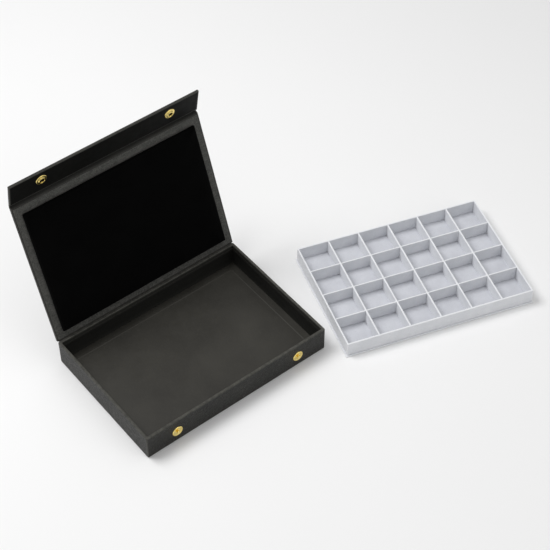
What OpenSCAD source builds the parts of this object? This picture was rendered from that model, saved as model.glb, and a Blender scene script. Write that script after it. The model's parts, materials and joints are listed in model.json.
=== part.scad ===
// Miniature carry case: a wrapped-board clamshell with a padded lid, a snap-down front flap and a 24-cell tray.
// Units are millimetres. +Z is up, the front of the case faces -Y, and +X runs to the right along the front edge.
// The origin is the centre of the case's underside. The case is drawn open, with its tray standing beside it.

/* [Case] */
// Outside width of the case, covering included
case_w = 236; // [228:1:244]
// Outside depth of the case, front to back
case_d = 164; // [158:1:172]
// Outside height of the case, from the table to the rim
case_h = 32; // [31:0.5:36]
// Thickness of the greyboard in the walls and the bottom
board_t = 2; // [1.6:0.1:2.2]
// Thickness of the leatherette covering
wrap_t = 0.6; // [0.4:0.05:0.7]
// Depth to which the covering is turned in below the rim
turn_in = 7; // [5:0.5:10]

/* [Lid] */
// Angle through which the lid has opened, from closed
lid_open = 110; // [100:1:120]
// Thickness of the lid's greyboard
lid_board_t = 2.5; // [2:0.1:3]
// Thickness of the black pad inside the lid
pad_t = 5; // [3:0.5:6]
// Border left round the pad at the left, the right and the hinge
pad_border = 9; // [8:0.5:14]
// Border left between the pad and the flap's fold
pad_border_front = 13; // [12.5:0.5:18]

/* [Flap] */
// Fold of the flap towards the case, from flat with the lid
flap_fold = 30; // [10:1:50]
// Height of the flap's free edge above the table when the case is shut
flap_foot = 2.4; // [1.5:0.1:4]

/* [Press studs] */
// Distance of each press stud from the middle of the front
snap_x = 80; // [60:1:95]
// Height of the press studs above the table
snap_z = 15; // [13:0.5:17]
// Diameter of the cap on the flap's outside
cap_d = 15; // [12.5:0.5:16]
// Diameter of the stud's flange and of the socket
snap_d = 13; // [11:0.5:14]

/* [Tray] */
// Height of the tray
tray_h = 20; // [16:1:21]
// Thickness of the tray's outer walls
tray_wall_t = 1.8; // [1.4:0.1:2.4]
// Thickness of the dividers that run from front to back
cross_t = 1.8; // [1.2:0.1:2]
// Thickness of the dividers that run from left to right
long_t = 1.4; // [1.2:0.1:2]
// Where the middle of the tray stands, to the right of the case's middle
tray_x = 259; // [255:1:300]
// Where the middle of the tray stands, behind the case's middle
tray_y = -69; // [-90:1:20]
// Turn of the tray on the table, in degrees
tray_turn = -18; // [-20:1:0]

/* [Hidden] */
$fn = 64;
cut = 1;

// case: layers from the table up and from the outside in
sheet_t = 0.6;
lining_t = 0.6;
wall_t = wrap_t + board_t + lining_t;
board_z = sheet_t + board_t;
floor_z = board_z + lining_t;
inner_w = case_w - 2 * wall_t;
inner_d = case_d - 2 * wall_t;
hinge_wall_leg = 12;

// lid, in its closed place on the rim
lid_gap = 0.3;
lid_lining_t = 0.5;
lid_t = lid_lining_t + lid_board_t + wrap_t;
lid_under = case_h + lid_gap;
lid_top = lid_under + lid_t;
hinge_y = case_d / 2 - wrap_t / 2;
hinge_z = case_h + lid_gap / 2;
hinge_lid_leg = 14;

// flap, in its closed place in front of the case
flap_board_t = 2;
flap_t = lid_lining_t + flap_board_t + wrap_t;
front_gap = 3;
flap_in = -case_d / 2 - front_gap;
flap_out = flap_in - flap_t;
fold_y = flap_out + wrap_t / 2;
fold_z = lid_top - wrap_t / 2;
fold_leg = 10;
mitre_gap = 0.1;
slim_w = case_w - 2 * wrap_t;

// press studs
post_r = 1.5;
post_fit = 0.05;
flange_t = 0.6;
button_r = 2.1;
button_h = 2;
neck_r = 1.7;
socket_h = 2.1;
socket_hole_r = 2.7;
back_r = 4.5;
back_t = 0.8;
cap_h = 1.5;

// tray, in its own place with the middle of its underside at the origin; NODES names each divider
cells_x = 6;
cells_y = 4;
tray_clear = 1.5;
foot_out = 1.5;
tray_base_t = 1.5;
tray_pad_t = 1.2;
tray_w = inner_w - 2 * tray_clear;
tray_d = inner_d - 2 * tray_clear;
tray_wall_w = tray_w - 2 * foot_out;
tray_wall_d = tray_d - 2 * foot_out;
tray_in_w = tray_wall_w - 2 * tray_wall_t;
tray_in_d = tray_wall_d - 2 * tray_wall_t;
divider_z = tray_base_t + tray_pad_t;
divider_h = tray_h - divider_z;
slot_fit = 0.1;
cell_w = (tray_in_w - (cells_x - 1) * cross_t) / cells_x;
cell_d = (tray_in_d - (cells_y - 1) * long_t) / cells_y;

// middle of the n-th front-to-back divider, counted from the left
function cross_x(n) = -tray_in_w / 2 + n * (cell_w + cross_t) - cross_t / 2;

// middle of the n-th left-to-right divider, counted from the front
function long_y(n) = -tray_in_d / 2 + n * (cell_d + long_t) - long_t / 2;

// box that is centred on X and Y, with its underside at z
module slab(w, d, h, z) {
    translate([-w / 2, -d / 2, z])
        cube([w, d, h]);
}

// box from one Y to another, centred on X
module band(w, y0, y1, z0, z1) {
    translate([-w / 2, y0, z0])
        cube([w, y1 - y0, z1 - z0]);
}

// four-sided ring: an outer box less an inner one
module ring(w, d, t, z0, z1) {
    difference() {
        slab(w, d, z1 - z0, z0);
        slab(w - 2 * t, d - 2 * t, z1 - z0 + 2 * cut, z0 - cut);
    }
}

// turns the closed lid about its hinge to where it stands open
module lid_pose() {
    translate([0, hinge_y, hinge_z])
        rotate([-lid_open, 0, 0])
            translate([0, -hinge_y, -hinge_z])
                children();
}

// turns the closed flap about its fold, and with the lid
module flap_pose() {
    lid_pose()
        translate([0, fold_y, fold_z])
            rotate([flap_fold - 90, 0, 0])
                translate([0, -fold_y, -fold_z])
                    children();
}

module tray_pose() {
    translate([tray_x, tray_y, 0])
        rotate([0, 0, tray_turn])
            children();
}

// both press studs, with their axes along Y
module at_snaps(y) {
    for (side = [-1, 1])
        translate([side * snap_x, y, snap_z])
            rotate([-90, 0, 0])
                children();
}

// the corner cut off the lid's front edge, so that the flap folds down without touching it
module lid_mitre() {
    reach = lid_t + cut;
    translate([case_w / 2 + cut, fold_y + mitre_gap, fold_z])
        rotate([0, -90, 0])
            linear_extrude(case_w + 2 * cut)
                polygon([[cut, -cut], [0, 0], [-reach, reach], [-reach, -cut - reach], [cut, -cut - reach]]);
}

// the matching corner cut off the flap's top edge
module flap_mitre() {
    reach = flap_t + cut;
    translate([case_w / 2 + cut, fold_y, fold_z - mitre_gap])
        rotate([0, -90, 0])
            linear_extrude(case_w + 2 * cut)
                polygon([[-cut, -cut], [0, 0], [-reach, reach], [cut + reach, reach], [cut + reach, -cut]]);
}

// ---- case ----

module base_sheet() {
    color([0.10, 0.10, 0.10])
        slab(case_w, case_d, sheet_t, 0);
}

module bottom_board() {
    color([0.55, 0.53, 0.50])
        slab(case_w - 2 * wrap_t, case_d - 2 * wrap_t, board_t, sheet_t);
}

module front_wall_board() {
    y0 = -case_d / 2 + wrap_t;
    color([0.55, 0.53, 0.50])
        difference() {
            band(case_w - 2 * wrap_t, y0, y0 + board_t, board_z, case_h - wrap_t);
            at_snaps(y0 - cut)
                cylinder(r = post_r + post_fit, h = board_t + 2 * cut);
        }
}

module back_wall_board() {
    y1 = case_d / 2 - wrap_t;
    color([0.55, 0.53, 0.50])
        band(case_w - 2 * wrap_t, y1 - board_t, y1, board_z, case_h - wrap_t);
}

module side_wall_board(side) {
    depth = case_d - 2 * wrap_t - 2 * board_t;
    x0 = side * (case_w / 2 - wrap_t - board_t / 2);
    color([0.55, 0.53, 0.50])
        translate([x0, 0, 0])
            slab(board_t, depth, case_h - wrap_t - board_z, board_z);
}

// outside of the walls, over the rim, and turned in; the hinge cloth takes its place at the top of the back
module case_wrap() {
    color([0.13, 0.13, 0.12])
        difference() {
            union() {
                ring(case_w, case_d, wrap_t, sheet_t, case_h);
                ring(case_w, case_d, wall_t, case_h - wrap_t, case_h);
                ring(inner_w + 2 * lining_t, inner_d + 2 * lining_t, lining_t, case_h - turn_in, case_h);
            }
            band(slim_w, case_d / 2 - wrap_t, case_d / 2 + cut, case_h - hinge_wall_leg, case_h + cut);
            at_snaps(-case_d / 2 - cut)
                cylinder(r = post_r + post_fit, h = wrap_t + 2 * cut);
        }
}

module wall_lining() {
    color([0.07, 0.07, 0.07])
        difference() {
            ring(inner_w + 2 * lining_t, inner_d + 2 * lining_t, lining_t, floor_z, case_h - turn_in);
            at_snaps(-inner_d / 2 - lining_t - cut)
                cylinder(r = post_r + post_fit, h = lining_t + 2 * cut);
        }
}

module floor_lining() {
    color([0.16, 0.16, 0.14])
        slab(inner_w + 2 * lining_t, inner_d + 2 * lining_t, lining_t, board_z);
}

// male halves: a flange on the wall, a button that snaps home, and the post through the wall
module snap_studs() {
    lip = 0.2;
    shoulder = flange_t + 0.5;
    color([0.80, 0.66, 0.32])
        at_snaps(-case_d / 2)
            union() {
                cylinder(r = post_r, h = wall_t);
                rotate([180, 0, 0])
                    rotate_extrude()
                        polygon([
                            [0, 0],
                            [snap_d / 2, 0],
                            [snap_d / 2, flange_t - lip],
                            [snap_d / 2 - lip, flange_t],
                            [neck_r, flange_t],
                            [neck_r, shoulder],
                            [button_r, shoulder + lip],
                            [button_r, flange_t + button_h - 3 * lip],
                            [button_r - 3 * lip, flange_t + button_h],
                            [0, flange_t + button_h]
                        ]);
            }
}

// rivet heads on the inner face of the front wall
module stud_backs() {
    edge = 0.25;
    color([0.80, 0.66, 0.32])
        at_snaps(-inner_d / 2)
            rotate_extrude()
                polygon([[0, 0], [back_r, 0], [back_r, back_t - edge], [back_r - edge, back_t], [0, back_t]]);
}

// the covering's fold: up the back wall, across the gap, and round the lid's back edge onto its top
module lid_hinge_cloth() {
    back = case_d / 2;
    color([0.13, 0.13, 0.12])
        union() {
            band(slim_w, back - wrap_t, back, case_h - hinge_wall_leg, hinge_z);
            translate([-slim_w / 2, hinge_y, hinge_z])
                rotate([0, 90, 0])
                    cylinder(r = wrap_t / 2, h = slim_w);
            lid_pose() {
                band(slim_w, back - wrap_t, back, hinge_z, lid_top);
                band(slim_w, back - hinge_lid_leg, back, lid_top - wrap_t, lid_top);
            }
        }
}

// ---- lid ----

module lid_board() {
    color([0.55, 0.53, 0.50])
        lid_pose()
            difference() {
                band(slim_w, fold_y, case_d / 2 - wrap_t, lid_under + lid_lining_t, lid_top - wrap_t);
                lid_mitre();
            }
}

// outside of the lid and its two side edges, between the hinge cloth and the flap's fold
module lid_wrap() {
    color([0.13, 0.13, 0.12])
        lid_pose() {
            band(slim_w, fold_y + fold_leg, case_d / 2 - hinge_lid_leg, lid_top - wrap_t, lid_top);
            for (side = [-1, 1])
                translate([side * (case_w - wrap_t) / 2, 0, 0])
                    difference() {
                        band(wrap_t, fold_y, case_d / 2 - wrap_t, lid_under, lid_top);
                        lid_mitre();
                    }
        }
}

module lid_lining() {
    color([0.22, 0.22, 0.20])
        lid_pose()
            difference() {
                band(slim_w, fold_y, case_d / 2 - wrap_t, lid_under, lid_under + lid_lining_t);
                lid_mitre();
            }
}

module lid_pad() {
    color([0.02, 0.02, 0.02])
        lid_pose()
            band(case_w - 2 * pad_border, flap_out + pad_border_front, case_d / 2 - pad_border,
                 lid_under - pad_t, lid_under);
}

// ---- flap ----

module flap_board() {
    color([0.55, 0.53, 0.50])
        flap_pose()
            difference() {
                band(slim_w, flap_out + wrap_t, flap_in - lid_lining_t, flap_foot + wrap_t, fold_z);
                flap_mitre();
                at_snaps(flap_out - cut)
                    cylinder(r = post_r + post_fit, h = flap_t + 2 * cut);
            }
}

// outside of the flap, its two side edges and its free edge
module flap_wrap() {
    color([0.13, 0.13, 0.12])
        flap_pose()
            difference() {
                union() {
                    band(slim_w, flap_out, flap_out + wrap_t, flap_foot, fold_z - fold_leg);
                    band(case_w, flap_out, flap_in, flap_foot, flap_foot + wrap_t);
                    for (side = [-1, 1])
                        translate([side * (case_w - wrap_t) / 2, 0, 0])
                            band(wrap_t, flap_out, flap_in, flap_foot, fold_z);
                }
                flap_mitre();
                at_snaps(flap_out - cut)
                    cylinder(r = post_r + post_fit, h = flap_t + 2 * cut);
            }
}

module flap_lining() {
    color([0.07, 0.07, 0.07])
        flap_pose()
            difference() {
                band(slim_w, flap_in - lid_lining_t, flap_in, flap_foot + wrap_t, fold_z);
                flap_mitre();
                at_snaps(flap_out - cut)
                    cylinder(r = post_r + post_fit, h = flap_t + 2 * cut);
            }
}

// female halves: a ring on the flap's inner face that takes the stud's button
module snap_sockets() {
    edge = 0.35;
    color([0.80, 0.66, 0.32])
        flap_pose()
            at_snaps(flap_in)
                rotate_extrude()
                    polygon([
                        [socket_hole_r, 0],
                        [snap_d / 2, 0],
                        [snap_d / 2, edge],
                        [snap_d / 2 - edge, 2 * edge],
                        [socket_hole_r + 4 * edge, 2 * edge],
                        [socket_hole_r + 2 * edge, socket_h],
                        [socket_hole_r + edge, socket_h],
                        [socket_hole_r, socket_h - edge]
                    ]);
}

// domed caps on the flap's outer face, each with the post that holds its socket
module snap_caps() {
    cap_r = cap_d / 2;
    color([0.80, 0.66, 0.32])
        flap_pose()
            at_snaps(flap_out)
                union() {
                    cylinder(r = post_r, h = flap_t);
                    rotate([180, 0, 0])
                        rotate_extrude()
                            polygon([
                                [0, 0],
                                [cap_r, 0],
                                [cap_r, 0.3 * cap_h],
                                [0.93 * cap_r, 0.62 * cap_h],
                                [0.75 * cap_r, 0.87 * cap_h],
                                [0.45 * cap_r, cap_h],
                                [0, cap_h]
                            ]);
                }
}

// the covering's fold between the lid's front edge and the flap
module flap_hinge_cloth() {
    color([0.13, 0.13, 0.12])
        union() {
            lid_pose() {
                band(slim_w, fold_y, fold_y + fold_leg, lid_top - wrap_t, lid_top);
                translate([-slim_w / 2, fold_y, fold_z])
                    rotate([0, 90, 0])
                        cylinder(r = wrap_t / 2, h = slim_w);
            }
            flap_pose()
                band(slim_w, flap_out, flap_out + wrap_t, fold_z - fold_leg, fold_z);
        }
}

// ---- tray ----

module tray_base() {
    color([0.80, 0.81, 0.83])
        tray_pose()
            slab(tray_w, tray_d, tray_base_t, 0);
}

module tray_floor_pad() {
    color([0.78, 0.79, 0.82])
        tray_pose()
            slab(tray_in_w, tray_in_d, tray_pad_t, tray_base_t);
}

// front wall for side = -1 and back wall for side = 1, each as long as the tray
module tray_long_wall(side) {
    color([0.80, 0.81, 0.83])
        tray_pose()
            translate([0, side * (tray_wall_d - tray_wall_t) / 2, 0])
                slab(tray_wall_w, tray_wall_t, tray_h - tray_base_t, tray_base_t);
}

// left wall for side = -1 and right wall for side = 1, between the front and back walls
module tray_end_wall(side) {
    color([0.80, 0.81, 0.83])
        tray_pose()
            translate([side * (tray_wall_w - tray_wall_t) / 2, 0, 0])
                slab(tray_wall_t, tray_in_d, tray_h - tray_base_t, tray_base_t);
}

// left-to-right divider, slotted from above for the front-to-back ones
module long_divider(n) {
    color([0.82, 0.83, 0.85])
        tray_pose()
            translate([0, long_y(n), 0])
                difference() {
                    slab(tray_in_w - 2 * slot_fit, long_t, divider_h, divider_z);
                    for (m = [1 : cells_x - 1])
                        translate([cross_x(m), 0, 0])
                            slab(cross_t + 2 * slot_fit, long_t + 2 * cut, divider_h,
                                 divider_z + divider_h / 2 - slot_fit);
                }
}

// front-to-back divider, slotted from below, so that its top edge runs through
module cross_divider(n) {
    color([0.82, 0.83, 0.85])
        tray_pose()
            translate([cross_x(n), 0, 0])
                difference() {
                    slab(cross_t, tray_in_d - 2 * slot_fit, divider_h, divider_z);
                    for (m = [1 : cells_y - 1])
                        translate([0, long_y(m), 0])
                            slab(cross_t + 2 * cut, long_t + 2 * slot_fit, divider_h,
                                 divider_z - divider_h / 2);
                }
}

base_sheet();
bottom_board();
front_wall_board();
back_wall_board();
side_wall_board(-1);  // left_wall_board
side_wall_board(1);  // right_wall_board
case_wrap();
wall_lining();
floor_lining();
snap_studs();
stud_backs();
lid_hinge_cloth();
lid_board();
lid_wrap();
lid_lining();
lid_pad();
flap_board();
flap_wrap();
flap_lining();
snap_sockets();
snap_caps();
flap_hinge_cloth();
tray_base();
tray_floor_pad();
tray_long_wall(-1);  // tray_front_wall
tray_long_wall(1);  // tray_back_wall
tray_end_wall(-1);  // tray_left_wall
tray_end_wall(1);  // tray_right_wall
long_divider(1);  // long_divider_1
long_divider(2);  // long_divider_2
long_divider(3);  // long_divider_3
cross_divider(1);  // cross_divider_1
cross_divider(2);  // cross_divider_2
cross_divider(3);  // cross_divider_3
cross_divider(4);  // cross_divider_4
cross_divider(5);  // cross_divider_5
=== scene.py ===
"""Looks of the miniature carry case: an open leatherette clamshell with its grey tray at its right.

Every piece is built in the place of the CAD node that it stands for. The lid and the flap are built
shut, as they lie on the case, and are then turned to where they stand open. Lengths are in metres, and
MM turns millimetres into metres.
"""

import json
import math

import bmesh
import bpy
import numpy as np
from mathutils import Matrix, Vector, noise


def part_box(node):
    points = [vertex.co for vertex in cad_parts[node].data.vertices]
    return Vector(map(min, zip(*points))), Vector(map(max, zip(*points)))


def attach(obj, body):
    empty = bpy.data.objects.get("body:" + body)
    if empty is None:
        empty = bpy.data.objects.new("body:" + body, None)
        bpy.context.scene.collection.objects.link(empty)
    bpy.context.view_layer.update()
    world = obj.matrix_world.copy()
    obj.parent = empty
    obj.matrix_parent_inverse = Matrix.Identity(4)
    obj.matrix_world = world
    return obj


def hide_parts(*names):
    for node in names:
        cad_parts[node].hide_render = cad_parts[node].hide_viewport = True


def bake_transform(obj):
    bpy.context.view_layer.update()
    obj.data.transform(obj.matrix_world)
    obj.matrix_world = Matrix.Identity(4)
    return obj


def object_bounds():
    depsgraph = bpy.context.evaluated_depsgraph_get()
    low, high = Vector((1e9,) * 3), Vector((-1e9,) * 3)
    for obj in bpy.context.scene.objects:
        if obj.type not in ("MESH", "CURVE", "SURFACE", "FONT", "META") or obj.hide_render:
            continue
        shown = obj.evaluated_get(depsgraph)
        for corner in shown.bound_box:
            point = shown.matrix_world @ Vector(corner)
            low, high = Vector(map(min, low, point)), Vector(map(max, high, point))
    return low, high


MM = 0.001
SAME = 1e-7  # points closer than this are one point
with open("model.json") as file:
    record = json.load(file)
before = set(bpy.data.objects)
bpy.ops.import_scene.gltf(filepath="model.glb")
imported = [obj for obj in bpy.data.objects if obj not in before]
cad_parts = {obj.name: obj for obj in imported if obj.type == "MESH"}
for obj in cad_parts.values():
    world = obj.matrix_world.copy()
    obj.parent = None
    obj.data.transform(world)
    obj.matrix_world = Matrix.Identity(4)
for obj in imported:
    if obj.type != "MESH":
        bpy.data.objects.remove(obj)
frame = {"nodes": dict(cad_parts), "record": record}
cad_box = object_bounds()
noise.seed_set(11)  # noise_vector's offsets change with the clock unless they are seeded


# ---------------------------------------------------------------- frames and boxes

def turned(point, degrees):
    """A turn about the X axis through point."""
    p = Vector(point)
    turn = Matrix.Rotation(math.radians(degrees), 4, "X")
    return Matrix.Translation(p) @ turn @ Matrix.Translation(-p)


def tray_frame():
    """Where the tray's own frame lies: centred under the tray and square to its sides."""
    corners = [v.co for v in frame["nodes"]["tray_base"].data.vertices]
    left = min(corners, key=lambda c: c.x)
    front = min(corners, key=lambda c: c.y)
    turn = math.atan2(front.y - left.y, front.x - left.x)
    lo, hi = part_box("tray_base")
    centre = Vector(((lo.x + hi.x) / 2, (lo.y + hi.y) / 2, lo.z))
    return Matrix.Translation(centre) @ Matrix.Rotation(turn, 4, "Z")


JOINTS = {j["name"]: j for j in frame["record"]["behaviour"]["joints"]}
HINGE = Vector(JOINTS["lid_hinge"]["pos_m"])
FOLD = Vector(JOINTS["flap_hinge"]["pos_m"])
CASE = Matrix.Identity(4)
LID = turned(HINGE, -JOINTS["lid_hinge"]["range_deg"][1])
FLAP = turned(FOLD, -JOINTS["flap_hinge"]["range_deg"][1]) @ LID
TRAY = tray_frame()
FOLD_SHUT = LID.inverted() @ FOLD


def local_box(node, pose):
    """A node's lowest and highest corners, in the frame that pose puts in place."""
    back = pose.inverted()
    co = np.array([back @ v.co for v in frame["nodes"][node].data.vertices])
    return co.min(0), co.max(0)


def grown(box, by):
    """A box with each side moved out by a distance."""
    return box[0] - by, box[1] + by


# ---------------------------------------------------------------- mesh builders

# Guard lines beside a rounded edge keep its shading, edge wear and painted highlight crisp. They lie this
# many radii in.
GUARD = 1.7
RING_GUARD = 1.2 * MM  # the same on the long runs of a ring, from where its corners start
CORNER_STEPS = 5  # faces round a ring's corner
BEND_STEPS = 4  # faces round the outside of a bend in a band
SHARP_BEND = 0.2  # radians; a gentler bend isn't rounded
MITRE_FLOOR = 0.3  # keeps the inner corner of a hairpin bend from running off
HEM = 0.5 * MM  # width of the finer faces along a band's edge
WEAR_AND_HIGHLIGHT_ANGLE = 0.16  # radians between faces that count as a full edge, for edge wear and painted highlight


def stations(a, b, r, step, extra=(), n=3):
    """Coordinates from a to b, close together in the rounded ends."""
    rounded = [r * (1 - math.tan(math.pi / 4 * (1 - k / n))) for k in range(n + 1)]
    flat = b - a - 2 * r
    count = max(1, round(flat / step))
    inner = [a + r + flat * k / count for k in range(count + 1)]
    if flat > 3 * r:
        inner += [a + GUARD * r, b - GUARD * r]
    found = sorted([a + d for d in rounded] + inner + [b - d for d in rounded] + list(extra))
    kept = [found[0]]
    for value in found[1:]:
        if value - kept[-1] > 10 * SAME:
            kept.append(value)
    return np.array(kept)


def mm(profile):
    """A profile in millimetres, turned into metres."""
    return [(a * MM, b * MM) for a, b in profile]


def inside_out(mesh):
    """A mesh with all its faces turned over."""
    return mesh[0], [face[::-1] for face in mesh[1]]


def outward(points, faces):
    """Makes the faces of a closed mesh look outwards."""
    corners = np.array([(f[0], f[i], f[i + 1]) for f in faces for i in range(1, len(f) - 1)])
    a, b, c = (points[corners[:, k]] for k in range(3))
    mesh = points, faces
    return mesh if np.sum(a * np.cross(b, c)) > 0 else inside_out(mesh)


def block(lo, hi, r, step, extra=((), (), ()), empty=None, n=3):
    """A box with rounded edges and gridded faces, less the cells that empty(x, y, z) picks."""
    steps = step if hasattr(step, "__len__") else (step,) * 3
    axes = [stations(lo[a], hi[a], r, steps[a], extra[a], n) for a in range(3)]
    middle = [(c[1:] + c[:-1]) / 2 for c in axes]
    solid = np.ones([len(m) for m in middle], bool)
    if empty is not None:
        solid &= ~empty(*np.meshgrid(*middle, indexing="ij"))
    padded = np.pad(solid, 1).astype(int)
    size = [len(c) for c in axes]
    quads = []
    for a in range(3):
        others = [b for b in range(3) if b != a]
        change = np.diff(np.moveaxis(padded, a, 0), axis=0)[:, 1:-1, 1:-1]
        for sign in (-1, 1):
            i, j, k = np.nonzero(change == sign)
            loop = ((0, 0), (1, 0), (1, 1), (0, 1))
            if (sign == 1) != (a == 1):
                loop = loop[::-1]
            corners = []
            for dj, dk in loop:
                index = [None] * 3
                index[a], index[others[0]], index[others[1]] = i, j + dj, k + dk
                corners.append((index[0] * size[1] + index[1]) * size[2] + index[2])
            quads.append(np.stack(corners, 1))
    quads = np.concatenate(quads)
    used, faces = np.unique(quads, return_inverse=True)
    faces = faces.reshape(-1, 4)
    where = np.unravel_index(used, size)
    p = np.stack([axes[a][where[a]] for a in range(3)], 1)
    core = np.clip(p, np.array(lo) + r, np.array(hi) - r)
    d = p - core
    length = np.linalg.norm(d, axis=1, keepdims=True)
    reach = np.abs(d).max(1, keepdims=True)
    p = core + np.where(length > 0, d * reach / np.maximum(length, 1e-12), 0)
    return outward(p, faces.tolist())


def joined(*meshes):
    """Several (points, faces) meshes as one."""
    points, faces, base = [], [], 0
    for p, f in meshes:
        points.append(np.asarray(p))
        faces += [[i + base for i in face] for face in f]
        base += len(p)
    return np.concatenate(points), faces


def ring(profile, half_w, half_d, step, marks=()):
    """A closed profile of (inset, height, corner radius) taken round a rectangle.

    marks are extra places along the sides that lie along X, from -1 to 1.
    """
    def along(half, extra=()):
        guard = 1 - RING_GUARD / half
        even = np.linspace(-1, 1, round(2 * half / step) + 1).tolist()
        return sorted({*even, -guard, guard, *extra})[1:-1]

    along_x, along_y = along(half_w, marks), along(half_d)

    def path(inset, radius):
        a, b = half_w - inset - radius, half_d - inset - radius
        sides = ([(a * t, -b - radius) for t in along_x], [(a + radius, b * t) for t in along_y],
                 [(-a * t, b + radius) for t in along_x], [(-a - radius, -b * t) for t in along_y])
        points = []
        for side, (cx, cy) in enumerate(((a, -b), (a, b), (-a, b), (-a, -b))):
            points += sides[side]
            for k in range(CORNER_STEPS + 1):
                angle = math.radians(90 * (side - 1) + 90 * k / CORNER_STEPS)
                points.append((cx + radius * math.cos(angle), cy + radius * math.sin(angle)))
        return points

    rings = [[(x, y, z) for x, y in path(inset, radius)] for inset, z, radius in profile]
    count, around = len(rings), len(rings[0])
    points = np.array([p for one in rings for p in one])
    faces = []
    for i in range(count):
        j = (i + 1) % count
        for k in range(around):
            m = (k + 1) % around
            faces.append([i * around + k, i * around + m, j * around + m, j * around + k])
    return outward(points, faces)


def lathe(profile, place, segments=48, closed=False):
    """A (radius, height) profile turned about Z and put in place. An open one has both ends on Z."""
    inner = profile if closed else profile[1:-1]
    points = []
    for k in range(segments):
        angle = 2 * math.pi * k / segments
        points += [(r * math.cos(angle), r * math.sin(angle), h) for r, h in inner]
    m = len(inner)
    faces = []
    for k in range(segments):
        j = (k + 1) % segments
        for i in range(m if closed else m - 1):
            q = (i + 1) % m
            faces.append([k * m + i, k * m + q, j * m + q, j * m + i])
    if not closed:
        top, bottom = len(points), len(points) + 1
        points += [(0, 0, profile[0][1]), (0, 0, profile[-1][1])]
        for k in range(segments):
            j = (k + 1) % segments
            faces.append([top, k * m, j * m])
            faces.append([bottom, j * m + m - 1, k * m + m - 1])
    return outward(np.array([place @ Vector(p) for p in points]), faces)


def band(line, half, x0, x1, step):
    """A strip of cloth along a (y, z) line, half to each side of it, from x0 to x1."""
    line = [np.array(p, float) for p in line]
    for end, after in ((0, 1), (-1, -2)):
        run = line[after] - line[end]
        line.insert(1 if end == 0 else -1, line[end] + run * HEM / np.linalg.norm(run))
    left, right = [], []
    for i, p in enumerate(line):
        before = line[i] - line[i - 1] if i else line[1] - line[0]
        after = line[i + 1] - line[i] if i + 1 < len(line) else before
        before, after = before / np.linalg.norm(before), after / np.linalg.norm(after)
        turn = math.atan2(before[0] * after[1] - before[1] * after[0], before @ after)
        n0 = np.array([-before[1], before[0]])
        mid = n0 + np.array([-after[1], after[0]])
        mid /= np.linalg.norm(mid)
        mitre = mid * half / max(MITRE_FLOOR, math.cos(turn / 2))
        if abs(turn) < SHARP_BEND:
            left.append(p + mitre)
            right.append(p - mitre)
            continue
        inner, outer, sign = (left, right, -1) if turn > 0 else (right, left, 1)
        inner.append(p + mitre * -sign)
        for k in range(BEND_STEPS + 1):
            angle = turn * k / BEND_STEPS
            c, s = math.cos(angle), math.sin(angle)
            outer.append(p + sign * half * np.array([c * n0[0] - s * n0[1], s * n0[0] + c * n0[1]]))
    outline = left + right[::-1]
    xs = [x0, x0 + HEM, *np.linspace(x0, x1, round((x1 - x0) / step) + 1)[1:-1], x1 - HEM, x1]
    m = len(outline)
    points = np.array([(x, q[0], q[1]) for x in xs for q in outline])
    faces = []
    for a in range(len(xs) - 1):
        for i in range(m):
            j = (i + 1) % m
            faces.append([a * m + i, a * m + j, (a + 1) * m + j, (a + 1) * m + i])
    faces.append(list(range(m))[::-1])
    faces.append([(len(xs) - 1) * m + i for i in range(m)])
    return outward(points, faces)


def wavy(points, amount, scale, seed=0.0):
    """Small smooth unevenness, the same at every run."""
    shift = Vector((seed, seed * 1.7, -seed))
    moved = points.copy()
    for i, p in enumerate(points):
        moved[i] += amount * np.array(noise.noise_vector(Vector(p) * scale + shift))
    return moved


def piece(name, mesh, body, material, pose, stands_for, smooth=50, ride=True):
    """Makes a Blender object of a mesh, marks its convex edges for edge wear and painted highlight, and
    hangs it on a CAD body.
    """
    data = bpy.data.meshes.new(name)
    data.from_pydata([tuple(p) for p in mesh[0]], [], mesh[1])
    data.transform(pose)
    bm = bmesh.new()
    bm.from_mesh(data)
    bmesh.ops.remove_doubles(bm, verts=bm.verts, dist=SAME)
    # Convex edges get a weight that makes them paler: edge wear together with a painted highlight.
    edge_wear_and_highlight = []
    for v in bm.verts:
        angles = [e.calc_face_angle_signed(0) for e in v.link_edges if len(e.link_faces) == 2]
        edge_wear_and_highlight.append(min(1, max(0, sum(angles) / max(1, len(angles)) / WEAR_AND_HIGHLIGHT_ANGLE)))
    bm.to_mesh(data)
    bm.free()
    data.attributes.new("edge_wear_and_highlight", "FLOAT", "POINT").data.foreach_set("value", edge_wear_and_highlight)
    data.polygons.foreach_set("use_smooth", [True] * len(data.polygons))
    data.set_sharp_from_angle(angle=math.radians(smooth))
    data.materials.append(MATERIALS[material])
    obj = bpy.data.objects.new(name, data)
    bpy.context.scene.collection.objects.link(obj)
    if ride:
        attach(obj, body)
    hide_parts(stands_for)
    return obj


# ---------------------------------------------------------------- materials

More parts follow.
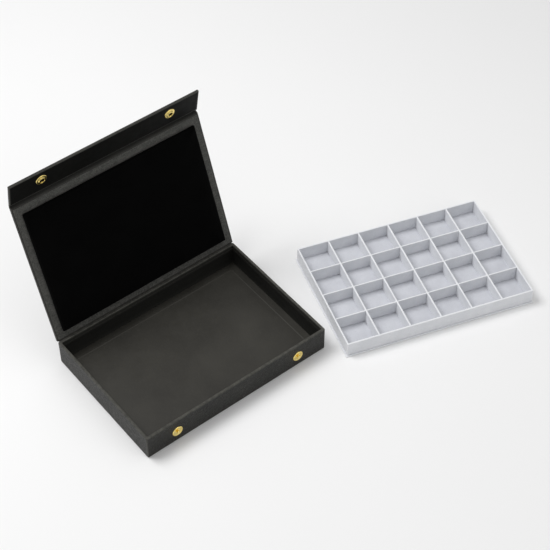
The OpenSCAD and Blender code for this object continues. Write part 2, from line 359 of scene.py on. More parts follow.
class Shader:
    """A Principled material with a few shorthands for its nodes.

    Patterns are sized per metre, so 1000 makes grains about 1 mm across. Bumps are in metres.
    """

    def __init__(self, name):
        self.material = bpy.data.materials.new(name)
        self.material.use_nodes = True
        self.tree = self.material.node_tree
        self.tree.nodes.clear()
        self.out = self.node("ShaderNodeOutputMaterial")
        self.bsdf = self.node("ShaderNodeBsdfPrincipled")
        self.link(self.bsdf.outputs[0], self.out.inputs[0])
        self.place = self.node("ShaderNodeTexCoord").outputs["Object"]

    def node(self, kind, **values):
        made = self.tree.nodes.new(kind)
        for key, value in values.items():
            setattr(made, key, value)
        return made

    def link(self, a, b):
        self.tree.links.new(a, b)

    def set(self, **values):
        for key, value in values.items():
            self.bsdf.inputs[key.replace("_", " ")].default_value = value

    def stretched(self, scale):
        made = self.node("ShaderNodeMapping")
        self.link(self.place, made.inputs["Vector"])
        made.inputs["Scale"].default_value = scale
        return made.outputs[0]

    def noise(self, per_m, detail=3.0, rough=0.5, vector=None):
        made = self.node("ShaderNodeTexNoise")
        self.link(vector or self.place, made.inputs["Vector"])
        made.inputs["Scale"].default_value = per_m
        made.inputs["Detail"].default_value = detail
        made.inputs["Roughness"].default_value = rough
        return made.outputs["Fac"]

    def cells(self, per_m):
        """How far each point is from the edge of its cell."""
        made = self.node("ShaderNodeTexVoronoi", feature="DISTANCE_TO_EDGE")
        self.link(self.place, made.inputs["Vector"])
        made.inputs["Scale"].default_value = per_m
        return made.outputs["Distance"]

    def wave(self, per_m, axis):
        """Slightly uneven threads across an axis."""
        made = self.node("ShaderNodeTexWave", wave_type="BANDS", bands_direction=axis)
        self.link(self.place, made.inputs["Vector"])
        made.inputs["Scale"].default_value = per_m
        made.inputs["Distortion"].default_value = 0.6
        made.inputs["Detail"].default_value = 1.0
        return made.outputs["Fac"]

    def ramp(self, value, low, high, from_min=0.3, from_max=0.7):
        """Spreads a value between from_min and from_max over low to high, and stops at both."""
        made = self.node("ShaderNodeMapRange")
        self.link(value, made.inputs["Value"])
        ends = {"From Min": from_min, "From Max": from_max, "To Min": low, "To Max": high}
        for key, number in ends.items():
            made.inputs[key].default_value = number
        return made.outputs[0]

    def maths(self, operation, a, b):
        made = self.node("ShaderNodeMath", operation=operation)
        for socket, value in zip(made.inputs, (a, b)):
            if isinstance(value, (int, float)):
                socket.default_value = value
            else:
                self.link(value, socket)
        return made.outputs[0]

    def mix(self, factor, a, b):
        made = self.node("ShaderNodeMix", data_type="RGBA")
        self.link(factor, made.inputs[0])
        for socket, value in zip((made.inputs[6], made.inputs[7]), (a, b)):
            if isinstance(value, tuple):
                socket.default_value = (*value, 1)
            else:
                self.link(value, socket)
        return made.outputs[2]

    def wear_and_highlight(self, share):
        """A share of how convex an edge is, as piece() marked it; it carries edge wear and painted
        highlight.
        """
        made = self.node("ShaderNodeAttribute", attribute_name="edge_wear_and_highlight")
        return self.maths("MULTIPLY", made.outputs["Fac"], share)

    def bump(self, height, distance, strength=1.0, onto=None):
        made = self.node("ShaderNodeBump")
        made.inputs["Strength"].default_value = strength
        made.inputs["Distance"].default_value = distance
        self.link(height, made.inputs["Height"])
        if onto is not None:
            self.link(onto, made.inputs["Normal"])
        return made.outputs[0]

    def finish(self, colour=None, rough=None, normal=None):
        for key, value in (("Base Color", colour), ("Roughness", rough), ("Normal", normal)):
            if value is not None:
                self.link(value, self.bsdf.inputs[key])
        return self.material


def scaled(colour, by):
    return tuple(c * by for c in colour)


def leatherette(name, dark, light, edge):
    """Pebbled covering, paler along its edges: rubbed there, and a painted highlight."""
    s = Shader(name)
    pebble = s.cells(1100)
    pores = s.maths("MULTIPLY", s.noise(3600, 3), 0.35)
    height = s.maths("ADD", s.ramp(pebble, 0, 1, 0.0, 0.3), pores)
    tone = s.mix(s.ramp(s.noise(38, 4), 0, 1), dark, light)
    # Painted shade: darker in the valleys between the pebbles.
    tone = s.mix(s.ramp(pebble, 0.35, 0, 0.0, 0.12), tone, scaled(dark, 0.45))
    # Edges go paler in patches: edge wear together with a painted highlight along the rims and board
    # edges.
    patchy = s.ramp(s.noise(260, 5, 0.65), 0.35, 1.0, 0.35, 0.65)
    rub_and_highlight = s.wear_and_highlight(patchy)
    normal = s.bump(height, 0.16 * MM, 1.0)
    normal = s.bump(s.noise(60, 2), 0.2 * MM, 0.35, normal)
    s.set(Specular_IOR_Level=0.27)
    return s.finish(s.mix(rub_and_highlight, tone, edge), s.ramp(s.noise(320, 4), 0.40, 0.56), normal)


def lining(name, dark, light, edge, rough=(0.45, 0.6), level=0.5):
    """Smooth lining paper with fine fibres in it."""
    s = Shader(name)
    fibres = s.noise(900, 5, 0.6, s.stretched((1.0, 0.22, 1.0)))
    tone = s.mix(s.ramp(s.noise(22, 4), 0, 1), dark, light)
    tone = s.mix(s.ramp(fibres, 0, 0.22, 0.5, 0.75), tone, edge)
    # Painted highlight, with some edge wear: paler on convex edges and on the floor paper's ridge.
    tone = s.mix(s.wear_and_highlight(0.6), tone, edge)
    normal = s.bump(fibres, 0.02 * MM, 0.7)
    normal = s.bump(s.noise(45, 3), 0.25 * MM, 0.3, normal)
    s.set(Specular_IOR_Level=level)
    return s.finish(tone, s.ramp(s.noise(140, 4), *rough), normal)


def cloth_lining(name, dark, light, edge):
    """Book cloth: a fine, slightly slubbed weave."""
    s = Shader(name)
    slub = s.noise(300, 4, 0.6, s.stretched((0.25, 1.0, 1.0)))
    weave = s.maths("MAXIMUM", s.wave(900, "X"), s.wave(900, "Z"))
    tone = s.mix(s.ramp(s.noise(620, 5, 0.8), 0, 1, 0.38, 0.64), dark, light)
    tone = s.mix(s.ramp(slub, 0, 0.35, 0.45, 0.75), tone, edge)
    normal = s.bump(s.maths("ADD", weave, s.noise(1500, 3)), 0.06 * MM, 0.8)
    s.set(Specular_IOR_Level=0.3, Sheen_Weight=0.12, Sheen_Roughness=0.5)
    # Its rounded edges are paler: edge wear and painted highlight.
    return s.finish(s.mix(s.wear_and_highlight(0.5), tone, edge), s.ramp(slub, 0.6, 0.8), normal)


def velvet(name, dark, light, sheen):
    """Short pile that lies a little unevenly."""
    s = Shader(name)
    lay = s.noise(30, 4, 0.55)
    pile = s.noise(2600, 4, 0.75)
    tone = s.mix(s.maths("ADD", s.ramp(lay, 0, 0.6), s.ramp(pile, 0, 0.4)), dark, light)
    normal = s.bump(pile, 0.12 * MM, 0.9)
    normal = s.bump(s.noise(240, 3), 0.25 * MM, 0.3, normal)
    s.set(Specular_IOR_Level=0.03, Sheen_Weight=sheen, Sheen_Roughness=0.45)
    return s.finish(tone, s.ramp(lay, 0.86, 0.97), normal)


def flock(name, dark, light, edge):
    """Very short, dense fibres with specks, and a painted highlight along the edges and wall tops."""
    s = Shader(name)
    speck = s.noise(3000, 4, 0.8)
    patch = s.noise(55, 4, 0.55)
    tone = s.mix(s.maths("ADD", s.ramp(patch, 0, 0.55), s.ramp(speck, 0, 0.45)), dark, light)
    tone = s.mix(s.ramp(s.noise(700, 4, 0.7), 0, 0.5, 0.56, 0.72), tone, scaled(dark, 0.86))
    # Painted highlight: convex edges and wall tops take the paler edge colour; the flock itself is even.
    tone = s.mix(s.wear_and_highlight(0.75), tone, edge)
    normal = s.bump(speck, 0.2 * MM, 1.0)
    normal = s.bump(s.noise(420, 4), 0.25 * MM, 0.5, normal)
    s.set(Specular_IOR_Level=0.15, Sheen_Weight=0.25, Sheen_Roughness=0.6)
    return s.finish(tone, s.ramp(patch, 0.84, 0.95), normal)


def brass(name, clean, tarnish):
    """Plated snap metal with turning marks, handling marks and dull hollows."""
    s = Shader(name)
    scratch = s.noise(2600, 4, 0.7, s.stretched((1.0, 1.0, 0.15)))
    stain = s.noise(420, 4, 0.6)
    tone = s.mix(s.ramp(stain, 0, 0.4, 0.45, 0.8), clean, tarnish)
    rough = s.maths("ADD", s.ramp(scratch, 0.0, 0.08), s.ramp(stain, 0.12, 0.22))
    normal = s.bump(scratch, 0.005 * MM, 0.5)
    s.set(Metallic=1.0)
    return s.finish(tone, rough, normal)


def greyboard(name, dark, light):
    """Recycled solid board with fibres and specks."""
    s = Shader(name)
    fibre = s.noise(700, 5, 0.7, s.stretched((1.0, 0.3, 1.0)))
    tone = s.mix(s.ramp(fibre, 0, 1), dark, light)
    tone = s.mix(s.ramp(s.noise(2600, 2), 0, 0.5, 0.62, 0.72), tone, scaled(dark, 0.5))
    s.set(Specular_IOR_Level=0.2)
    return s.finish(tone, s.ramp(fibre, 0.85, 0.95), s.bump(fibre, 0.05 * MM, 0.8))


MATERIALS = {name: make(name, *values) for name, make, *values in (
    # The last colour of the leatherette and the hinge cloth is their paler edge: edge wear and painted
    # highlight.
    ("leatherette", leatherette, (0.0148, 0.0146, 0.0125), (0.024, 0.0235, 0.0203), (0.078, 0.076, 0.066)),
    ("hinge_cloth", leatherette, (0.015, 0.0148, 0.0128), (0.024, 0.0235, 0.020), (0.10, 0.097, 0.085)),
    ("floor_paper", lining, (0.026, 0.0245, 0.0205), (0.038, 0.036, 0.030), (0.065, 0.062, 0.052),
     (0.42, 0.55), 0.3),
    ("black_paper", lining, (0.009, 0.009, 0.0078), (0.016, 0.016, 0.014), (0.032, 0.032, 0.028),
     (0.5, 0.65), 0.2),
    ("flap_paper", lining, (0.0025, 0.0025, 0.0021), (0.0045, 0.0045, 0.0038), (0.012, 0.012, 0.010),
     (0.5, 0.65), 0.1),
    ("base_paper", lining, (0.012, 0.012, 0.011), (0.02, 0.02, 0.019), (0.045, 0.045, 0.04)),
    ("lid_cloth", cloth_lining, (0.024, 0.024, 0.0215), (0.10, 0.099, 0.09), (0.15, 0.148, 0.133)),
    ("black_velvet", velvet, (0.0006, 0.0006, 0.0006), (0.0024, 0.0024, 0.0023), 0.018),
    # The last colour of the grey flock is the painted highlight on its edges and wall tops.
    ("grey_flock", flock, (0.67, 0.685, 0.72), (0.79, 0.80, 0.83), (0.94, 0.95, 0.965)),
    # Painted shade: the same flock as the walls, made darker for the cell floors; its last colour is a
    # painted highlight on its edges.
    ("grey_pad", flock, (0.53, 0.54, 0.58), (0.66, 0.672, 0.712), (0.72, 0.735, 0.765)),
    ("brass", brass, (1.0, 0.80, 0.28), (0.74, 0.51, 0.15)),
    ("greyboard", greyboard, (0.26, 0.25, 0.23), (0.42, 0.40, 0.37)),
)}
SLOTS = {p["node"]: p["material_slot"] for p in frame["record"]["subparts"]}

for node, slot_name in SLOTS.items():
    if slot_name == "greyboard":
        shown = frame["nodes"][node].data
        shown.materials.clear()
        shown.materials.append(MATERIALS["greyboard"])


# ---------------------------------------------------------------- case

LINING = 0.6 * MM  # thickness of the case's linings
half_w, half_d, rim = local_box("case_wrap", CASE)[1]
lining_hi = local_box("wall_lining", CASE)[1]
wall = half_w - lining_hi[0] + LINING  # covering, board and lining together
turn_in = lining_hi[2]  # height at which the turned-in covering ends
floor_top = local_box("floor_lining", CASE)[1][2]
strip_x = half_w - 1.4 * MM  # the hinge strips reach this far to each side
notch_z = local_box("lid_hinge_cloth", CASE)[0][2]  # height at which the lid's hinge strip starts


def case_cover():
    """Covering: turned under the bottom, up the outside, over the rim and down inside."""
    outer_r, inner_r = 1.3 * MM, 0.45 * MM
    w, top, end, notch = wall / MM, rim / MM, turn_in / MM, notch_z / MM
    profile = mm([(12, 0.36), (6, 0.35), (1.1, 0.36), (0.45, 0.5), (0.12, 0.85), (0, 1.5), (0, 2.3),
                  (0, 6), (0, 11), (0, 15), (0, notch - 0.15), (0, notch + 0.15), (0, 26),
                  (0, top - 1.8), (0, top - 1.1), (0.08, top - 0.6), (0.32, top - 0.2), (0.75, top),
                  (w - 0.75, top), (w - 0.3, top - 0.18), (w - 0.06, top - 0.55), (w, top - 1),
                  (w, end + 3), (w, end + 0.2), (w - 0.15, end), (w - 0.55, end + 0.05),
                  (w - 0.57, top - 0.57), (0.57, top - 0.57), (0.57, 0.58), (12, 0.58)])
    rings = [(inset, z, inner_r if inset > 2 * MM else max(inner_r, outer_r - inset * 0.8))
             for inset, z in profile]
    marks = [side * strip_x / (half_w - outer_r) for side in (-1, 1)]
    points, faces = ring(rings, half_w, half_d, 4 * MM, marks)
    calm = wavy(points, 0.07 * MM, 45)
    bed = half_d - 0.5 * MM  # the back wall is sunk this far where the lid's hinge strip lies
    across = abs(points[:, 0]) < strip_x + 0.05 * MM
    calm[(points[:, 1] > bed) & (points[:, 2] > notch_z) & across, 1] = bed
    under = points[:, 2] < 0.7 * MM
    calm[under, 2] = points[under, 2]
    return calm, faces


def wall_paper():
    """Lining of the inner walls; its top edge laps over the turned-in covering."""
    w, low, end = wall / MM, floor_top / MM, turn_in / MM
    lap = w + 0.22
    profile = mm([(w - 0.5, low), (w, low), (w, 10), (w, 18), (w + 0.02, end - 0.6), (lap, end - 0.1),
                  (lap, end + 0.9), (lap - 0.08, end + 1.05), (w + 0.02, end + 1.05),
                  (w + 0.02, end - 0.05), (w - 0.5, end - 0.05)])
    rings = [(inset, z, 0.5 * MM) for inset, z in profile]
    points, faces = ring(rings, half_w, half_d, 5 * MM)
    return wavy(points, 0.05 * MM, 60, 3), faces


def floor_paper():
    """Floor lining. The edge of the covering beneath it shows as a faint ridge near the walls."""
    lo, hi = local_box("floor_lining", CASE)
    lo, hi = lo + [0.62 * MM, 0.62 * MM, 0.02 * MM], hi - [0.62 * MM, 0.62 * MM, 0]
    ridge, width = 8.5 * MM, 0.45 * MM
    near = [ridge + k * width for k in (-2, -1, 0, 1, 2)]
    extra = [[lo[a] + d for d in near] + [hi[a] - d for d in near] for a in range(2)]
    points, faces = block(lo, hi, 0.2 * MM, (3 * MM, 3 * MM, 1 * MM), (*extra, ()))
    edge = np.minimum(points - lo, hi - points)[:, :2].min(1)
    step = 0.16 * MM * np.clip((ridge + 0.4 * MM - edge) / (0.8 * MM), 0, 1)
    patchy = np.array([0.6 + 0.6 * noise.noise(Vector(p) * 14) for p in points])
    crest = 0.13 * MM * patchy * np.exp(-(((edge - ridge) / width) ** 2))
    moved = wavy(points, 0.05 * MM, 30, 7)
    top = points[:, 2] > hi[2] - 0.15 * MM
    moved[:, 2] = np.where(top, step + crest + moved[:, 2], points[:, 2])
    return moved, faces


def base_paper():
    """Sheet under the case, a little in from its edges."""
    lo, hi = local_box("base_sheet", CASE)
    margin, up = 3 * MM, 0.27 * MM
    return block(lo + [margin, margin, 0], hi - [margin, margin, up], 0.12 * MM, 8 * MM)


piece("case_cover", case_cover(), "case", "leatherette", CASE, "case_wrap")
piece("wall_paper", wall_paper(), "case", "black_paper", CASE, "wall_lining")
piece("floor_paper", floor_paper(), "case", "floor_paper", CASE, "floor_lining")
piece("base_paper", base_paper(), "case", "base_paper", CASE, "base_sheet")


# ---------------------------------------------------------------- lid and flap

BED = 0.53 * MM  # depth of the recesses in which the hinge strips lie
STRIP_DEPTH = 0.27 * MM  # how far the middle of a strip lies below the covering's face
STRIP_HALF = 0.24 * MM  # half a strip's thickness
STRIP_END = strip_x - 0.1 * MM
PAPER_MARGIN = 1.6 * MM  # how far in the lid's and the flap's linings stop at the sides
FOLD_MARGIN = 4.6 * MM  # and at the fold between them
fold_y, fold_z = FOLD_SHUT.y, FOLD_SHUT.z
lid_top = local_box("lid_wrap", LID)[1][2]
lid_under = local_box("lid_lining", LID)[0][2]
_, flap_out, flap_foot = local_box("flap_wrap", FLAP)[0]
flap_in = local_box("flap_lining", FLAP)[1][1]
lid_leg_y = half_d - 14 * MM  # the lid's hinge strip ends here on the lid
fold_leg = 10 * MM  # the flap's strip reaches this far to each side of the fold


def both_sides(places, apart=0.06 * MM):
    """Two grid lines close beside each place, so that a step there is sharp."""
    return [place + d for place in places for d in (-apart, apart)]


def mitred(points, along, gap):
    """Slants the end of a block at the fold, so that lid and flap meet at 45 degrees when shut."""
    moved = points.copy()
    y, z = points[:, 1], points[:, 2]
    if along == 1:
        share = (y.max() - y) / (y.max() - fold_y)
        moved[:, 1] += (gap + np.maximum(0, fold_z - z)) * np.clip(share, 0, 1) ** 8
    else:
        share = (z - z.min()) / (fold_z - z.min())
        moved[:, 2] -= (gap + np.maximum(0, y - fold_y)) * np.clip(share, 0, 1) ** 6
    return moved


def hollowed(shell, lo, hi, steps, along):
    """A covering with a hollow for its board."""
    points, faces = block(lo, hi, 0.01 * MM, steps, n=1)
    return joined(shell, inside_out((mitred(points, along, 0.08 * MM), faces)))


def lid_cover():
    """The lid's covering, closed round its board, with shallow recesses for the two hinge strips."""
    lo = np.array([-half_w, fold_y, lid_under + 0.16 * MM])
    hi = np.array([half_w, half_d - BED, lid_top - 0.04 * MM])
    marks = both_sides((-strip_x, strip_x)), both_sides((lid_leg_y, fold_y + fold_leg)), ()
    points, faces = block(lo, hi, 0.7 * MM, (5 * MM, 5 * MM, 1 * MM), marks)
    legs = (points[:, 1] > lid_leg_y) | (points[:, 1] < fold_y + fold_leg)
    sunk = legs & (abs(points[:, 0]) < strip_x) & (points[:, 2] > lid_top - 0.55 * MM)
    shaped = wavy(points, 0.07 * MM, 40, 11)
    end = points[:, 1] < fold_y + 2 * MM
    shaped[end] = points[end]
    shaped[sunk, 2] = lid_top - BED
    shell = mitred(shaped, 1, 0.03 * MM), faces
    lo, hi = grown(local_box("lid_board", LID), 0.02 * MM)
    lo[1] = fold_y
    return hollowed(shell, lo, hi, (60 * MM, 60 * MM, 1 * MM), 1)


def flap_cover():
    """The flap's covering, closed round its board and its free edge."""
    lo = np.array([-half_w, flap_out + 0.04 * MM, flap_foot])
    hi = np.array([half_w, flap_in - 0.16 * MM, fold_z])
    marks = both_sides((-strip_x, strip_x)), (), both_sides((fold_z - fold_leg,))
    points, faces = block(lo, hi, 0.7 * MM, (5 * MM, 1 * MM, 4 * MM), marks)
    leg = (points[:, 2] > fold_z - fold_leg) & (points[:, 1] < flap_out + 0.55 * MM)
    sunk = leg & (abs(points[:, 0]) < strip_x)
    shaped = wavy(points, 0.06 * MM, 40, 19)
    end = points[:, 2] > fold_z - 2 * MM
    shaped[end] = points[end]
    shaped[sunk, 1] = flap_out + BED
    shell = mitred(shaped, 2, 0.03 * MM), faces
    lo, hi = grown(local_box("flap_board", FLAP), 0.02 * MM)
    hi[2] = fold_z
    return hollowed(shell, lo, hi, (60 * MM, 1 * MM, 40 * MM), 2)


def lid_cloth():
    """Border lining, pasted inside the lid a little in from its edges."""
    lo = np.array([-half_w + PAPER_MARGIN, fold_y + FOLD_MARGIN, lid_under - 0.02 * MM])
    hi = np.array([half_w - PAPER_MARGIN, half_d - 1.9 * MM, lid_under + 0.15 * MM])
    return block(lo, hi, 0.07 * MM, (4 * MM, 4 * MM, 1 * MM))


def flap_paper():
    """Lining inside the flap, pasted like the lid's."""
    lo = np.array([-half_w + PAPER_MARGIN, flap_in - 0.15 * MM, flap_foot + 1.8 * MM])
    hi = np.array([half_w - PAPER_MARGIN, flap_in + 0.02 * MM, fold_z - FOLD_MARGIN])
    return block(lo, hi, 0.07 * MM, (5 * MM, 1 * MM, 5 * MM))


def at(pose, y, z):
    """Where a point of the lid or the flap, given as in the shut case, stands when it is open."""
    p = pose @ Vector((0, y, z))
    return p.y, p.z


def lid_hinge():
    """Covering strip: up the back wall, across the gap, round the lid's edge and onto its top."""
    back = half_d - STRIP_HALF
    edge, top = half_d - STRIP_DEPTH, lid_top - STRIP_DEPTH
    line = [(back, z) for z in (notch_z + 0.2 * MM, 24 * MM, 28 * MM, rim - 0.2 * MM)]
    line += [at(LID, y, z) for y, z in (
        (edge, HINGE.z + 0.75 * MM), (edge, top - 0.5 * MM), (edge - 0.15 * MM, top - 0.15 * MM),
        (edge - 0.5 * MM, top), (half_d - 5 * MM, top), (half_d - 9 * MM, top),
        (lid_leg_y + 0.2 * MM, top))]
    return band(line, STRIP_HALF, -STRIP_END, STRIP_END, 5 * MM)


def flap_hinge():
    """Covering strip over the fold between the lid and the flap."""
    top, out = lid_top - STRIP_DEPTH, flap_out + STRIP_DEPTH
    leg = fold_leg - 0.2 * MM
    line = [at(LID, fold_y + d, top) for d in (leg, 5 * MM, 1.4 * MM, 0.5 * MM)]
    line += [at(FLAP, out, fold_z - d) for d in (0.5 * MM, 1.4 * MM, 5 * MM, leg)]
    return band(line, STRIP_HALF, -STRIP_END, STRIP_END, 5 * MM)


piece("lid_cover", lid_cover(), "lid", "leatherette", LID, "lid_wrap")
piece("lid_cloth", lid_cloth(), "lid", "lid_cloth", LID, "lid_lining")
piece("flap_cover", flap_cover(), "flap", "leatherette", FLAP, "flap_wrap")
piece("flap_paper", flap_paper(), "flap", "flap_paper", FLAP, "flap_lining")

hinge_strip = piece("lid_hinge_strip", lid_hinge(), "case", "hinge_cloth", CASE, "lid_hinge_cloth",
                    ride=False)
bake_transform(hinge_strip)
fold_strip = piece("flap_hinge_strip", flap_hinge(), "lid", "hinge_cloth", CASE, "flap_hinge_cloth",
                   ride=False)
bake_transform(fold_strip)


# ---------------------------------------------------------------- soft pad

LAST_FRAME = 20  # the cloth has settled by then


def puffed(obj, cap, pressure, held):
    """Blows a pad up by cloth simulation, at most by cap; held(points) picks what stays in place."""
    mesh, scene = obj.data, bpy.context.scene
    before = np.array([v.co for v in mesh.vertices])
    group = obj.vertex_groups.new(name="held")
    group.add([int(i) for i in np.nonzero(held(before))[0]], 1.0, "REPLACE")
    cloth = obj.modifiers.new("puff", "CLOTH")
    cloth.collision_settings.use_self_collision = False
    settings = cloth.settings
    settings.use_pressure = True
    settings.uniform_pressure_force = pressure
    settings.mass = 0.3
    settings.quality = 6
    settings.tension_stiffness = settings.compression_stiffness = 12
    settings.bending_stiffness = 1.0
    settings.vertex_group_mass = "held"
    settings.effector_weights.gravity = 0
    for f in range(1, LAST_FRAME + 1):
        scene.frame_set(f)
    after = obj.evaluated_get(bpy.context.evaluated_depsgraph_get()).data
    moved = np.array([v.co for v in after.vertices]) - before
    obj.modifiers.remove(cloth)
    scene.frame_set(1)
    length = np.linalg.norm(moved, axis=1, keepdims=True)
    moved *= np.minimum(1, cap / np.maximum(length, 1e-12))
    for v, p in zip(mesh.vertices, before + moved):
        v.co = p


pad_box = local_box("lid_pad", LID)


def lid_pad():
    """The lid's pad before it is puffed: a rounded slab, a little smaller than its place."""
    lo, hi = pad_box
    lo, hi = lo + [0.3 * MM, 0.3 * MM, 0.6 * MM], hi - [0.3 * MM, 0.3 * MM, 0.05 * MM]
    points, faces = block(lo, hi, 1.7 * MM, (3 * MM, 3 * MM, 1.2 * MM), n=4)
    return wavy(points, 0.12 * MM, 28, 23), faces


pad = piece("velvet_pad", lid_pad(), "lid", "black_velvet", LID, "lid_pad", smooth=70)
GLUED = 1.8 * MM  # depth of the pad, from its back, that can't move
to_back = (LID.to_3x3() @ Vector((0, 0, 1))).normalized()
glue_line = to_back @ (LID @ Vector((0, 0, pad_box[1][2] - GLUED)))
puffed(pad, 0.7 * MM, 3.0, lambda p: p @ np.array(to_back) > glue_line)


# ---------------------------------------------------------------- press studs

def facing(x, y, z, out):
    """Puts a turned part's axis along Y, out of a wall towards -Y (out = -1) or +Y (out = 1)."""
    return Matrix.Translation((x, y, z)) @ Matrix.Rotation(math.radians(-90 * out), 4, "X")


def at_snaps(node, pose):
    """The (x, z) middles of a node's two turned parts."""
    lo, hi = local_box(node, pose)
    r = (hi[2] - lo[2]) / 2
    return [(x, (lo[2] + hi[2]) / 2) for x in (lo[0] + r, hi[0] - r)]


# Profiles: (radius, height above the wall) in millimetres. A negative height is in the post.
STUD = mm([(0, 2.42), (0.55, 2.42), (0.8, 2.56), (1.3, 2.6), (1.75, 2.5), (2.02, 2.2), (2.1, 1.85),
           (2.08, 1.5), (1.85, 1.22), (1.7, 1.0), (1.72, 0.72), (2.2, 0.6), (3.6, 0.52), (4.3, 0.5),
           (4.7, 0.62), (5.2, 0.78), (5.8, 0.78), (6.25, 0.6), (6.48, 0.3), (6.5, 0.08), (6.35, 0.0),
           (1.5, 0.0), (1.5, -3.2), (0, -3.2)])
STUD_BACK = mm([(0, 0.2), (0.8, 0.2), (0.95, 0.55), (1.3, 0.78), (1.8, 0.8), (2.5, 0.62), (3.8, 0.5),
                (4.3, 0.38), (4.5, 0.15), (4.4, 0.01), (0, 0.01)])
SOCKET = mm([(2.7, 0.02), (2.7, 1.4), (2.74, 1.75), (2.95, 2.02), (3.3, 2.1), (3.7, 2.0), (4.0, 1.65),
             (4.15, 1.2), (4.4, 0.86), (4.9, 0.72), (5.5, 0.74), (6.1, 0.62), (6.42, 0.36), (6.5, 0.12),
             (6.4, 0.02)])
CAP = mm([(0, 1.5), (1.6, 1.49), (3.2, 1.43), (4.7, 1.28), (6.0, 1.02), (6.9, 0.68), (7.35, 0.34),
          (7.5, 0.12), (7.42, 0.0), (1.5, 0.0), (1.5, -3.02), (1.0, -3.02), (0.9, -1.6), (0, -1.6)])
WIRE = mm([(0, 3.2), (0.14, 3.2), (0.18, 3.1), (0.18, 0.1), (0.14, 0), (0, 0)])


def springs(place):
    """The two wires of a socket's spring, seen across its mouth."""
    wires = []
    for side in (-1, 1):
        start = Matrix.Translation((-1.6 * MM, side * 2.32 * MM, 1.2 * MM))
        along = start @ Matrix.Rotation(math.pi / 2, 4, "Y")
        wires.append(lathe(WIRE, place @ along, 10))
    return wires


def snap_pair(name, node, body, pose, y, out, profile, is_socket=False):
    """The two turned parts of one node, on the wall at y, facing out."""
    meshes = []
    for x, z in at_snaps(node, pose):
        place = facing(x, y, z, out)
        meshes.append(lathe(profile, place, 64, closed=is_socket))
        if is_socket:
            meshes += springs(place)
    piece(name, joined(*meshes), body, "brass", pose, node, smooth=35)


snap_pair("snap_stud_pair", "snap_studs", "case", CASE, -half_d, -1, STUD)
snap_pair("stud_back_pair", "stud_backs", "case", CASE, -half_d + wall, 1, STUD_BACK)
snap_pair("snap_socket_pair", "snap_sockets", "flap", FLAP, flap_in, 1, SOCKET, is_socket=True)
snap_pair("snap_cap_pair", "snap_caps", "flap", FLAP, flap_out, -1, CAP)


# ---------------------------------------------------------------- tray

LONG = [f"long_divider_{n}" for n in (1, 2, 3)]
CROSS = [f"cross_divider_{n}" for n in (1, 2, 3, 4, 5)]
SLOT_PLAY = 0.1 * MM  # room at each side of a divider in the slot that takes it
boxes = {n: local_box(n, TRAY) for n in LONG + CROSS}
long_ys = [(boxes[n][0][1] + boxes[n][1][1]) / 2 for n in LONG]
cross_xs = [(boxes[n][0][0] + boxes[n][1][0]) / 2 for n in CROSS]
long_slot = (boxes[LONG[0]][1][1] - boxes[LONG[0]][0][1]) / 2 + SLOT_PLAY
cross_slot = (boxes[CROSS[0]][1][0] - boxes[CROSS[0]][0][0]) / 2 + SLOT_PLAY
slot_z = (boxes[LONG[0]][0][2] + boxes[LONG[0]][1][2]) / 2
long_slot_z, cross_slot_z = slot_z - 0.05 * MM, slot_z + 0.05 * MM


def tray_part(name, node, r, step, lap=0.0, amount=0.1, **kw):
    """A flocked board, its ends pushed lap deeper into the boards in front and behind."""
    lo, hi = local_box(node, TRAY)
    longer = np.array((0, lap, 0))
    points, faces = block(lo - longer, hi + longer, r, step, **kw)
    uneven = wavy(points, amount * MM, 160, len(name))
    uneven[:, 2] = np.maximum(uneven[:, 2], 0)
    return piece(name, (uneven, faces), "tray", "grey_flock", TRAY, node, smooth=60)


def nearest(values, places):
    """How far each value is from the nearest of some places."""
    return np.min([abs(values - place) for place in places], 0)


def slot_edges(places, half):
    return [place + side * half for place in places for side in (-1, 1)]


tray_part("tray_base_panel", "tray_base", 0.6 * MM, (3 * MM, 3 * MM, 1 * MM), amount=0.06)
for side in ("front", "back"):
    tray_part(f"tray_{side}_side", f"tray_{side}_wall", 0.6 * MM, (3 * MM, 1 * MM, 3 * MM))
for side in ("left", "right"):
    tray_part(f"tray_{side}_side", f"tray_{side}_wall", 0.6 * MM, (1 * MM, 3 * MM, 3 * MM), 0.5 * MM)
for n, node in enumerate(LONG, 1):
    tray_part(f"long_partition_{n}", node, 0.5 * MM, (3 * MM, 1 * MM, 3 * MM), amount=0.08,
              extra=(slot_edges(cross_xs, cross_slot), (), [long_slot_z]),
              empty=lambda x, y, z: (nearest(x, cross_xs) < cross_slot) & (z > long_slot_z))
for n, node in enumerate(CROSS, 1):
    tray_part(f"cross_partition_{n}", node, 0.6 * MM, (1 * MM, 3 * MM, 3 * MM), amount=0.08,
              extra=((), slot_edges(long_ys, long_slot), [cross_slot_z]),
              empty=lambda x, y, z: (nearest(y, long_ys) < long_slot) & (z < cross_slot_z))


def floor_pad():
    """One flocked pad under all the cells, pressed down at the boards and fuller between them."""
    swell, spread, board_half = 0.9 * MM, 3.2 * MM, 0.9 * MM
    lo, hi = local_box("tray_floor_pad", TRAY)
    points, faces = block(lo, hi, 0.3 * MM, (2.5 * MM, 2.5 * MM, 1 * MM))
    dx = nearest(points[:, 0], (lo[0], *cross_xs, hi[0]))
    dy = nearest(points[:, 1], (lo[1], *long_ys, hi[1]))
    clear = np.minimum(dx, dy) - board_half
    crown = swell * (1 - np.exp(-np.maximum(clear, 0) / spread)) - 0.15 * MM
    ripple = (wavy(points, 0.1 * MM, 120, 31) - points)[:, 2] * (clear > 0)
    top = points[:, 2] > (lo[2] + hi[2]) / 2
    points[:, 2] += np.where(top, crown + ripple, 0)
    return points, faces


# The pad takes the darker copy of the flock: painted shade on the cell floors.
tray_pad = piece("tray_pad", floor_pad(), "tray", "grey_pad", TRAY, "tray_floor_pad", smooth=70)


# ---------------------------------------------------------------- floor, light and camera

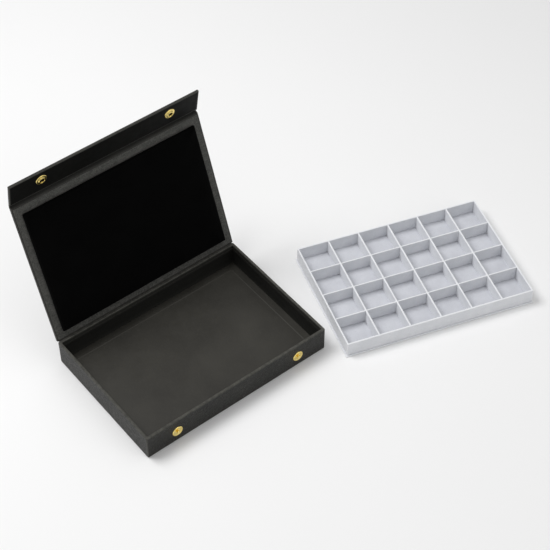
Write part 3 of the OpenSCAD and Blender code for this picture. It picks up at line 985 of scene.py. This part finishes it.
def stage_floor():
    """A pale floor, a hair below the underside so that the two don't flicker."""
    data = bpy.data.meshes.new("studio_floor")
    bm = bmesh.new()
    bmesh.ops.create_grid(bm, x_segments=8, y_segments=8, size=6)
    bm.to_mesh(data)
    bm.free()
    floor = bpy.data.objects.new("studio_floor", data)
    floor.location = (0, 0, -0.2 * MM)
    bpy.context.scene.collection.objects.link(floor)
    s = Shader("pale_floor")
    s.set(Specular_IOR_Level=0.1)
    tone = s.mix(s.noise(3), (0.86, 0.86, 0.86), (0.88, 0.88, 0.88))
    data.materials.append(s.finish(tone, s.ramp(s.noise(5), 0.9, 1)))


def placed(name, data, location, looking):
    """An object at a place, looking in a direction."""
    obj = bpy.data.objects.new(name, data)
    bpy.context.scene.collection.objects.link(obj)
    obj.location = location
    obj.rotation_mode = "QUATERNION"
    obj.rotation_quaternion = looking.to_track_quat("-Z", "Y")
    return obj


def area_light(name, offset, size, power):
    """A soft light at an offset from the middle of the object, shining at it."""
    light = bpy.data.lights.new(name, "AREA")
    light.shape = "RECTANGLE"
    light.size, light.size_y = size
    light.energy = power
    placed(name, light, middle + Vector(offset), -Vector(offset))


stage_floor()
middle = (cad_box[0] + cad_box[1]) / 2
area_light("key", (-0.6, 0.65, 1.5), (0.85, 0.85), 21)
area_light("overhead", (0.1, -0.1, 1.8), (2.0, 2.0), 5)
area_light("fill", (0.5, -1.6, 0.8), (1.4, 1.0), 5)
world = bpy.data.worlds.new("studio")
world.use_nodes = True
world.node_tree.nodes["Background"].inputs[0].default_value = (1, 1, 1, 1)
world.node_tree.nodes["Background"].inputs[1].default_value = 0.4
bpy.context.scene.world = world
bpy.context.scene.view_settings.view_transform = "Standard"

lens = bpy.data.cameras.new("camera")
lens.lens, lens.sensor_width = 100, 36
lens.clip_start, lens.clip_end = 0.01, 50
azimuth, elevation, distance = math.radians(-38.5), math.radians(48), 1.585
level = math.cos(elevation)
away = Vector((math.sin(azimuth) * level, -math.cos(azimuth) * level, math.sin(elevation)))
aim = middle + Vector((-0.060, -0.030, 0.006))
bpy.context.scene.camera = placed("camera", lens, aim + away * distance, -away)
